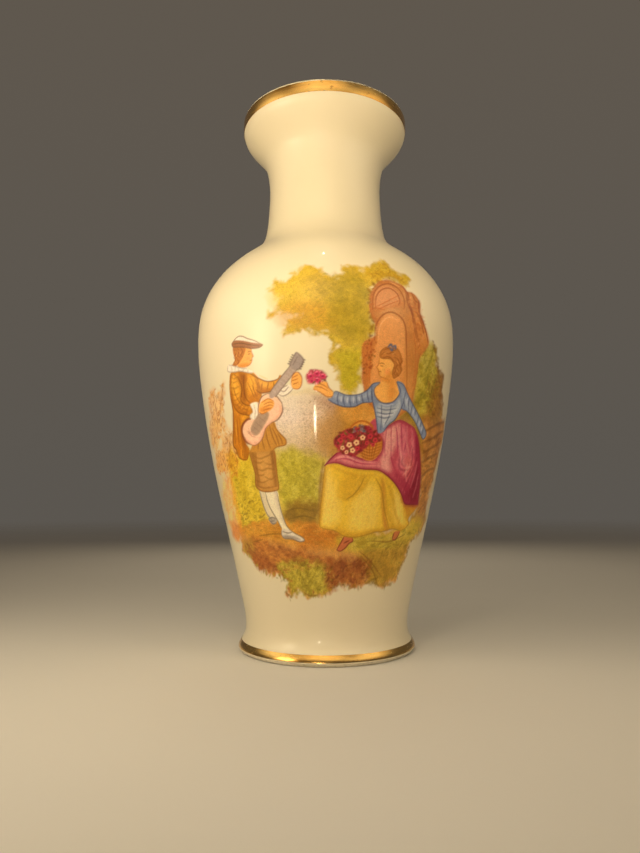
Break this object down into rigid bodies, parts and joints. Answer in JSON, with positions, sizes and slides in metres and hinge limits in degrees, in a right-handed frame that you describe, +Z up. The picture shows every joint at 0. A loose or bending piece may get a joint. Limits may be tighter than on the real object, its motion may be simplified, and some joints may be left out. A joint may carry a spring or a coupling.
{
  "type": "vase",
  "caption": "Baluster porcelain vase with a flared cup mouth, waisted neck, high shoulder and spread foot; gilt rim and foot, with a pastoral scene of a musician and a lady.",
  "frame": {"origin": "centre of the foot ring, on the surface the vase stands on", "axes": "+Z up the vase's axis to the mouth; the enamel picture faces -Y and its right-hand side is +X"},
  "size_m": [0.1198, 0.1199, 0.25],
  "materials": {
    "bisque": "matte",
    "glaze": "gloss",
    "gilding": "polished",
    "enamel_guitar": "gloss",
    "enamel_coat": "gloss",
    "enamel_flowers": "gloss",
    "enamel_basket": "gloss",
    "enamel_dress": "gloss",
    "enamel_terracotta": "gloss",
    "enamel_foliage": "gloss",
    "enamel_landscape": "gloss"
  },
  "bodies": {
    "root": {"porcelain_body": "bisque", "glaze_coat": "glaze", "base_glaze": "glaze", "rim_gilt_band": "gilding", "foot_gilt_band": "gilding", "guitar_enamel": "enamel_guitar", "musician_enamel": "enamel_coat", "posy_enamel": "enamel_flowers", "basket_enamel": "enamel_basket", "lady_enamel": "enamel_dress", "archway_enamel": "enamel_terracotta", "tree_enamel": "enamel_foliage", "landscape_enamel": "enamel_landscape"}
  },
  "joints": []
}
